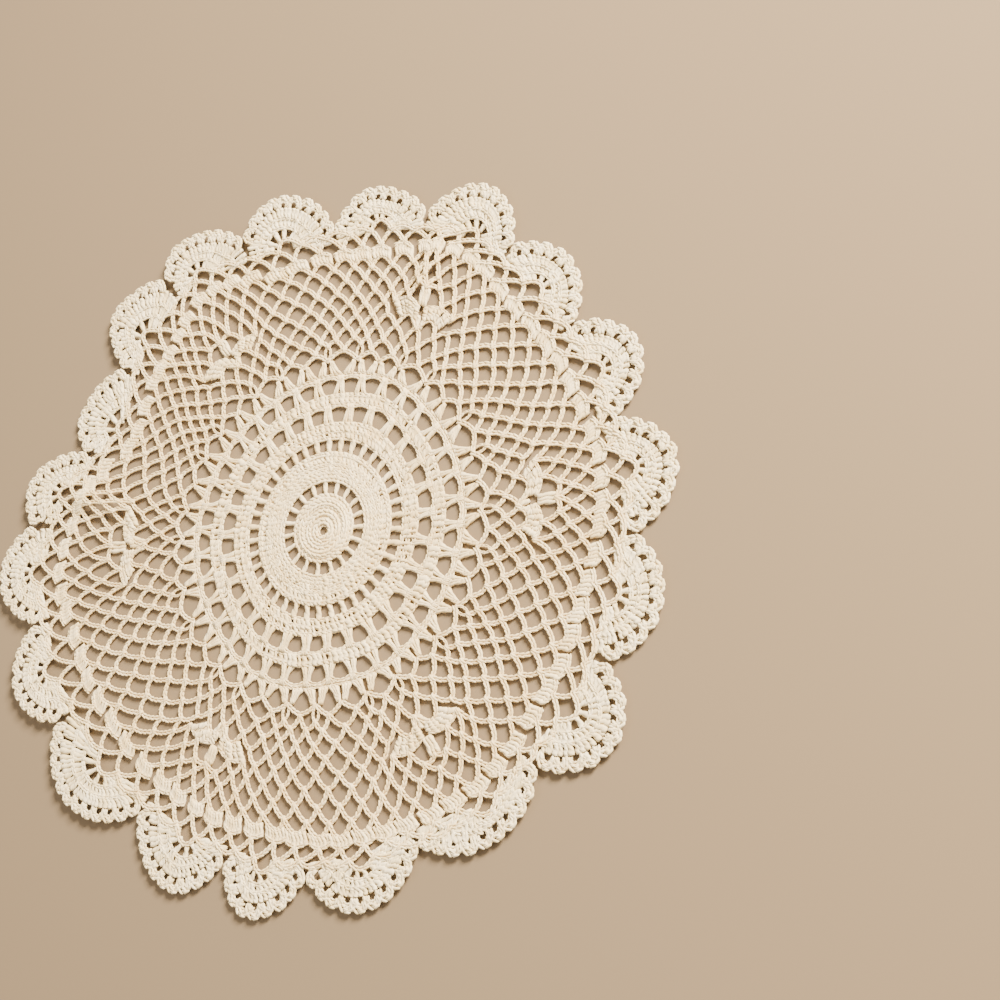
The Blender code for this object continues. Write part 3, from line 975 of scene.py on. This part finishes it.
def lay_block(work, start, peak, end):
    """A block of tall stitches in an arch. Gives where the loops above it start."""
    wide_deg = 0.5 * (end[1] - start[1])
    out = between_tips("blocks_mm", peak[1]) + BLOCK_OVER_MM + work.jitter(0.3)
    slant = BLOCK_SLANT * wide_deg + work.jitter(0.06)
    foot_spread, top_spread = BLOCK_SPREAD
    for s in BLOCK_POSTS:
        # the feet go down both sides of the arch, and the tops are a little round
        foot = peak[0] - 1.7 * abs(s) ** 1.5 - 0.7
        head = out + 0.2 - 1.2 * s * s + work.jitter(0.3)
        over = work.jitter(0.2)
        work.post(lie(foot, peak[1] + foot_spread * s * wide_deg - slant, over),
                  lie(head, peak[1] + top_spread * s * wide_deg + slant, over), (1.15, 1.25))
    work.chain([lie(out + 0.2 - 1.8 * t * t, peak[1] + foot_spread * t * wide_deg + slant, 0.25)
                for t in np.linspace(-1.0, 1.0, 7)], 0.85)
    return out + 0.5, peak[1] + slant


def loop_row(work, starts, first, net_share, rise_mm, uneven_mm=0.0):
    """A row of loops from each start to the next, as arches. First is the first loop's index
    in the plan, net_share is how far the row still stands as the net does, and rise_mm gives
    how far out a loop reaches at its index."""
    loops = []
    for i, start in enumerate(starts):
        after = starts[(i + 1) % len(starts)]
        turn = 360.0 if i + 1 == len(starts) else 0.0
        index = first + i
        deg = near(net_share * net_deg(index) + (1.0 - net_share) * fan_deg(index), start[1])
        out = between_tips("blocks_mm", deg) + rise_mm(index) * between_tips("loops", deg)
        if uneven_mm:
            out += work.jitter(uneven_mm)
        loops.append((start, (out, deg), (after[0], after[1] + turn)))
    return loops


def lay_blocks(work, arches):
    """A block of tall stitches in every arch of the last row, and two rows of loops."""
    valleys = {upper_index(n) % UPPER_CELLS for n in range(len(FANS))}
    tips = {tip_index(n) % UPPER_CELLS for n in range(len(FANS))}

    def lower_mm(index):
        beside = {(index - 0.5) % UPPER_CELLS, (index + 0.5) % UPPER_CELLS}
        return LOWER_VALLEY_MM if beside & valleys else LOWER_LOOP_MM

    def upper_mm(index):
        place = index % UPPER_CELLS
        return LOOPS_MM if place in tips else VALLEY_LOOP_MM if place in valleys else SIDE_LOOP_MM

    blocks = [lay_block(work, *arch) for arch in arches]
    index = 0.5 * len(OUTER_ROWS)
    lower = loop_row(work, blocks, index + 0.5, 0.5, lower_mm, 0.3)
    lay_arches(work, lower, 0.2, 1.8, knots=False)
    upper = loop_row(work, [peak for _, peak, _ in lower], index + 1.0, 0.25, upper_mm)
    lay_arches(work, upper, 0.3, 2.0, knots=False)


def fan_half(fan, valley_deg, valley_mm, way):
    """Half of a fan's rim, from a valley to the tip, and its flank, from the loops under the
    valley out to the first scallop."""
    first = valley_deg + way * FAN_APART_DEG
    rim = [flat_point(swell_mm(valley_mm, fan, rise), first + (fan["tip_deg"] - first) * rise)
           for rise in np.linspace(0.0, 1.0, RIM_POINTS)]
    low = between_tips("blocks_mm", valley_deg)
    low += VALLEY_LOOP_MM * between_tips("loops", valley_deg)
    low = min(low, valley_mm - FLANK_LEAST_MM)
    flank = [flat_point(low + (valley_mm - low) * share, valley_deg + way * FLANK_APART_DEG)
             for share, _ in FAN_FLANK]
    return rim, flank


def fan_frame(fan):
    """The middle that a fan's stitches spread from, outwards and to its left, the edge of
    its body as seen from there, and the line that its scallops are worked along."""
    out, side = axes(fan["foot_deg"])
    middle = out * (fan["blocks_mm"] + LOOPS_MM * fan["loops"] - FAN_FOOT_MM)
    rim, flank = fan_half(fan, fan["valley_deg"], fan["valley_mm"], 1.0)
    last_rim, last_flank = fan_half(fan, fan["end_deg"], fan["end_mm"], -1.0)
    rim = rim[:-1] + last_rim[::-1]
    inset = [mm for _, mm in FAN_FLANK]
    inset = inset + [SCALLOP_MM - PICOT_MM] * len(rim) + inset[::-1]
    away = np.array(flank + rim + last_flank[::-1]) - middle
    spread = np.maximum.accumulate(np.degrees(np.arctan2(away @ side, away @ out)))
    reach = np.linalg.norm(away, axis=1) - np.array(inset)
    return middle, out, side, spread, reach, np.array(rim)


def lay_fan(work, fan):
    """Stitches that spread from the loop at the fan's foot, then its full rounds and rim."""
    middle, out, side, spread, reach, rim = fan_frame(fan)

    def ring(share, phi, over=0.0):
        """Share 0 is the arch at the fan's foot, and 1 the row that the scallops grow from."""
        turn = math.radians(phi)
        full = float(np.interp(phi, spread, reach))
        far = FAN_FOOT_MM + share * (full - FAN_FOOT_MM)
        return lie_at(middle + far * (math.cos(turn) * out + math.sin(turn) * side), over)

    low, high = spread[0], spread[-1]
    for phi in FAN_SPOKES_DEG:
        phi += work.jitter(4.0)
        work.post(ring(0.0, phi * 0.96), ring(FAN_ROUND_FOOT, phi), (1.1, 1.5))
    for phi in np.concatenate([np.arange(-FAN_SIDE_DEG, low - 4.0, -10.0),
                               np.arange(FAN_SIDE_DEG, high + 4.0, 10.0)]):
        work.post(ring(0.1, phi * 0.98), ring(FAN_ROUND_FOOT + 0.02, phi), (1.4, 1.7))
    phis = np.linspace(low, high, 25)
    for first, last in FAN_ROUNDS:
        line = Path([ring(0.5 * (first + last), p) for p in phis])
        count = round(line.length / FAN_STITCH_MM)
        for i in range(count + 1):
            phi = float(np.interp(line.length * i / count, line.at, phis)) + work.jitter(1.6)
            over = work.jitter(0.25)
            work.post(ring(first - 0.03, phi - 1.5, over), ring(last + 0.03, phi + 1.5, over),
                      (1.1 + work.jitter(0.3), 1.5 + work.jitter(0.4)), 0.9)
        work.chain([ring(first, p, 0.1) for p in phis], 0.9)
    edge = Path(np.column_stack([rim, np.zeros(len(rim))]))
    scallops = round(edge.length / SCALLOP_WIDE_MM)
    half_mm = 0.5 * edge.length / scallops
    for i in range(scallops):
        place, left, _ = edge.frames(np.array([(2 * i + 1) * half_mm + work.jitter(0.3)]))
        lay_scallop(work, place[0][:2], -left[0][:2], half_mm)


def lay_scallop(work, foot, out, half_mm):
    """One scallop of a rim: an arch in an arch, a picot that stands out over them, and in
    some a stitch or two more, which fill it."""
    along = np.array([-out[1], out[0]])
    base = foot - (SCALLOP_MM - PICOT_MM - 1.0) * out
    skew, full = work.jitter(0.6), work.chance.uniform(0.0, 1.0)
    rise = SCALLOP_MM - SCALLOP_ARCH_BELOW_MM + work.jitter(0.25)
    inner_rise = (0.58 + 0.16 * work.chance.uniform(0.0, 1.0)) * rise

    def spot(out_mm, aside_mm, over):
        return lie_at(base + out_mm * out + aside_mm * along, over)

    # the arch, and a thinner one in it
    for half, high, thick, over in ((half_mm, rise, 1.4, 0.15),
                                    (0.78 * half_mm, inner_rise, 0.9, 0.0)):
        work.chain([spot(high * math.sin(t), half * math.cos(t) + skew * math.sin(t), over)
                    for t in np.linspace(math.pi, 0.0, 11)], thick)
    # the picot, which starts well inside
    work.post(spot(3.7, 0.6 * skew, 0.45), spot(rise + 0.2, skew, 0.3), (1.25, 1.15))
    for aside, share in ((-0.55, 0.6), (0.5, 0.8)):
        if full > share:
            work.post(spot(0.0, aside * half_mm, 0.0),
                      spot(0.75 * rise, 0.5 * aside * half_mm, 0.2), (1.2, 1.5))


# ---------------------------------------------------------------- materials


def add(nodes, kind, settings=None, links=None):
    """Adds a node, sets its properties and sockets, and links other nodes' outputs to it.
    A mix of colours has its share in socket 0 and the two colours in sockets 6 and 7."""
    node = nodes.new(kind)
    for name, value in (settings or {}).items():
        if isinstance(name, str) and hasattr(node, name):
            setattr(node, name, value)
        else:
            node.inputs[name].default_value = value
    for name, source in (links or {}).items():
        node.id_data.links.new(source, node.inputs[name])
    return node


def cotton_thread():
    """Combed cotton crochet thread, plied and left undyed: matt, with a soft bloom of loose
    fibres that catches light from the side, a little uneven in its cream, and painted paler
    in some pieces, which is painted light."""
    found = bpy.data.materials.get("combed cotton thread")
    if found:
        return found
    look = bpy.context.scene.doily
    material = bpy.data.materials.new("combed cotton thread")
    material.use_nodes = True
    nodes = material.node_tree.nodes
    nodes.clear()
    place = add(nodes, "ShaderNodeTexCoord").outputs["Object"]
    shade = add(nodes, "ShaderNodeAttribute", {"attribute_name": "stitch_shade"}).outputs["Fac"]
    # painted light: how far each piece's cream is mixed towards the paler lit colour
    painted_light = add(nodes, "ShaderNodeAttribute", {"attribute_name": "painted_light"}).outputs["Fac"]
    patches = add(nodes, "ShaderNodeTexNoise", {"Scale": PATCHES_PER_M, "Detail": 2.0},
                  {"Vector": place})
    base = add(nodes, "ShaderNodeMix", {"data_type": "RGBA", 6: hex_linear(look.cream_hex),
                                        7: hex_linear(look.painted_lit_hex)}, {0: painted_light})
    shadow = add(nodes, "ShaderNodeMix", {"data_type": "RGBA", "blend_type": "MULTIPLY",
                                          7: hex_linear(SHADE_HEX)},
                 {0: shade, 6: base.outputs[2]})
    patchy = add(nodes, "ShaderNodeMix", {"data_type": "RGBA", "blend_type": "MULTIPLY",
                                          7: hex_linear(PATCH_HEX)},
                 {0: patches.outputs["Fac"], 6: shadow.outputs[2]})
    ply = add(nodes, "ShaderNodeAttribute", {"attribute_name": "ply"}).outputs["Vector"]
    split = add(nodes, "ShaderNodeSeparateXYZ", {}, {0: ply}).outputs
    turn = add(nodes, "ShaderNodeMath", {"operation": "ARCTAN2"}, {0: split[2], 1: split[1]})
    turns = add(nodes, "ShaderNodeMath", {"operation": "MULTIPLY", 1: float(look.plies)},
                {0: turn.outputs[0]})
    wave = add(nodes, "ShaderNodeMath",
               {"operation": "MULTIPLY_ADD", 1: 2.0 * math.pi / look.ply_mm},
               {0: split[0], 2: turns.outputs[0]})
    plies = add(nodes, "ShaderNodeMath", {"operation": "SINE"}, {0: wave.outputs[0]})
    fibres = add(nodes, "ShaderNodeTexNoise", {"Scale": FIBRES_PER_M, "Detail": 3.0},
                 {"Vector": place})
    height = add(nodes, "ShaderNodeMath", {"operation": "MULTIPLY_ADD", 1: PLY_SHARE},
                 {0: plies.outputs[0], 2: fibres.outputs["Fac"]})
    bump = add(nodes, "ShaderNodeBump", {"Strength": 0.5, "Distance": RELIEF_MM * MM},
               {"Height": height.outputs[0]})
    shader = add(nodes, "ShaderNodeBsdfPrincipled",
                 {"Roughness": 0.88, "IOR": 1.5, "Specular IOR Level": 0.25,
                  "Sheen Weight": 0.25, "Sheen Roughness": 0.5},
                 {"Base Color": patchy.outputs[2], "Normal": bump.outputs["Normal"]})
    add(nodes, "ShaderNodeOutputMaterial", {}, {"Surface": shader.outputs["BSDF"]})
    return material


def plain_paint(name, colour, roughness):
    material = bpy.data.materials.new(name)
    material.use_nodes = True
    shader = material.node_tree.nodes["Principled BSDF"]
    shader.inputs["Base Color"].default_value = hex_linear(colour)
    shader.inputs["Roughness"].default_value = roughness
    return material


# ---------------------------------------------------------------- the add-on


class DoilySettings(bpy.types.PropertyGroup):
    """Sizes and colours of the thread."""

    yarn_mm: FloatProperty(name="Thread", description="Thickness of the thread, in mm",
                           default=0.95, min=0.3, max=2.0)
    cord_mm: FloatProperty(name="Chain width", description="Width of a chain, in mm",
                           default=2.1, min=1.0, max=4.0)
    link_mm: FloatProperty(name="Chain link", description="Length of one chain stitch, in mm",
                           default=2.5, min=1.0, max=5.0)
    lie_mm: FloatProperty(name="Half thickness", description="Height of a cord's middle, in mm",
                          default=1.0, min=0.3, max=3.0)
    plies: IntProperty(name="Plies", description="How many plies the thread has", default=3,
                       min=2, max=8)
    ply_mm: FloatProperty(name="Ply pitch", description="Length from one ply to the next, in mm",
                          default=1.5, min=0.2, max=6.0)
    cream_hex: StringProperty(name="Cream", description="Colour of the thread, as sRGB hex",
                              default="#F4E1B7")
    # painted light: the paler colour of the parts drawn as lit brighter; the thread is one cream
    painted_lit_hex: StringProperty(name="Painted_lighter", description="Colour where it is paler",
                              default="#F5ECD0")
    floor_hex: StringProperty(name="Floor", description="Colour of the floor",
                              default="#7B6A53")


class DOILY_OT_middle(bpy.types.Operator):
    """The solid rounds and the first round of holes"""

    bl_idname = "doily.middle"
    bl_label = "Middle rounds"

    def execute(self, context):
        work = Work("middle_rounds")
        lay_middle(work)
        finish_piece(work)
        return {"FINISHED"}


class DOILY_OT_outer_rounds(bpy.types.Operator):
    """Three rounds of holes and the solid rounds between them"""

    bl_idname = "doily.outer_rounds"
    bl_label = "Outer rounds"

    def execute(self, context):
        work = Work("outer_rounds")
        lay_outer_rounds(work)
        finish_piece(work)
        return {"FINISHED"}


class DOILY_OT_tall_round(bpy.types.Operator):
    """The tall round of legs, eyes and kite-shaped holes"""

    bl_idname = "doily.tall_round"
    bl_label = "Tall round"

    def execute(self, context):
        work = Work("tall_round")
        lay_tall_round(work)
        finish_piece(work)
        return {"FINISHED"}


class DOILY_OT_net(bpy.types.Operator):
    """The net, its clusters, the round of blocks and the loops under the fans"""

    bl_idname = "doily.net"
    bl_label = "Net and blocks"

    def execute(self, context):
        rows, clusters = net_plan(np.random.default_rng(NET_SEED))
        inner = len(INNER_ROWS)
        for name, part in (("net_inner", rows[:inner]), ("net_outer", rows[inner:])):
            work = Work(name)
            for arches in part:
                lay_arches(work, arches)
            finish_piece(work)
        work = Work("net_clusters")
        for cluster in clusters:
            lay_cluster(work, cluster)
        finish_piece(work)
        work = Work("block_round")
        lay_blocks(work, rows[-1])
        finish_piece(work)
        return {"FINISHED"}


class DOILY_OT_fans(bpy.types.Operator):
    """The nineteen fans of the border, with their picots"""

    bl_idname = "doily.fans"
    bl_label = "Fans"

    def execute(self, context):
        for name, first, last in FAN_PIECES:
            work = Work(name)
            for number in range(first, last + 1):
                lay_fan(work, FANS[number])
            finish_piece(work)
        return {"FINISHED"}


class DOILY_OT_cloth(bpy.types.Operator):
    """Adds nothing to the scene"""

    bl_idname = "doily.cloth"
    bl_label = "Cloth"

    def execute(self, context):
        return {"FINISHED"}


class DOILY_OT_stage(bpy.types.Operator):
    """A plain floor, soft light and the camera"""

    bl_idname = "doily.stage"
    bl_label = "Stage"

    def execute(self, context):
        begin()
        bpy.ops.mesh.primitive_plane_add(size=FLOOR_M, location=(0.0, 0.0, 0.0))
        floor = bpy.context.object
        floor.name = "floor"
        floor.data.materials.append(
            plain_paint("matt floor paint", context.scene.doily.floor_hex, 0.9))
        for name, place, colour, size, power in LAMPS:
            bpy.ops.object.light_add(type="AREA", location=place)
            lamp = bpy.context.object
            lamp.name = name
            lamp.data.size = size
            lamp.data.energy = power
            lamp.data.color = hex_linear(colour)[:3]
            lamp.rotation_euler = (-Vector(place)).to_track_quat("-Z", "Y").to_euler()
        world = bpy.data.worlds.new("soft room")
        world.use_nodes = True
        background = world.node_tree.nodes["Background"]
        background.inputs["Color"].default_value = hex_linear(ROOM_HEX)
        background.inputs["Strength"].default_value = ROOM_STRENGTH
        context.scene.world = world
        bpy.ops.object.camera_add(location=CAMERA_AT)
        camera = bpy.context.object
        camera.rotation_euler = Matrix(CAMERA_AXES).transposed().to_euler()
        camera.data.sensor_width = 36.0
        camera.data.lens = LENS_MM
        context.scene.camera = camera
        return {"FINISHED"}


class DOILY_PT_panel(bpy.types.Panel):
    """Lists the parts of the doily in the sidebar"""

    bl_label = "Doily"
    bl_space_type = "VIEW_3D"
    bl_region_type = "UI"
    bl_category = "Doily"

    def draw(self, context):
        for name in DoilySettings.__annotations__:
            self.layout.prop(context.scene.doily, name)
        for operator in OPERATORS:
            self.layout.operator(operator.bl_idname)


OPERATORS = (DOILY_OT_middle, DOILY_OT_outer_rounds, DOILY_OT_tall_round, DOILY_OT_net,
             DOILY_OT_fans, DOILY_OT_cloth, DOILY_OT_stage)
CLASSES = (DoilySettings, *OPERATORS, DOILY_PT_panel)


def register():
    for cls in CLASSES:
        bpy.utils.register_class(cls)
    bpy.types.Scene.doily = PointerProperty(type=DoilySettings)


def unregister():
    del bpy.types.Scene.doily
    for cls in reversed(CLASSES):
        bpy.utils.unregister_class(cls)


def main():
    register()
    bpy.ops.doily.middle()
    bpy.ops.doily.outer_rounds()
    bpy.ops.doily.tall_round()
    bpy.ops.doily.net()
    bpy.ops.doily.fans()
    bpy.ops.doily.cloth()
    bpy.ops.doily.stage()


if __name__ == "__main__":
    main()
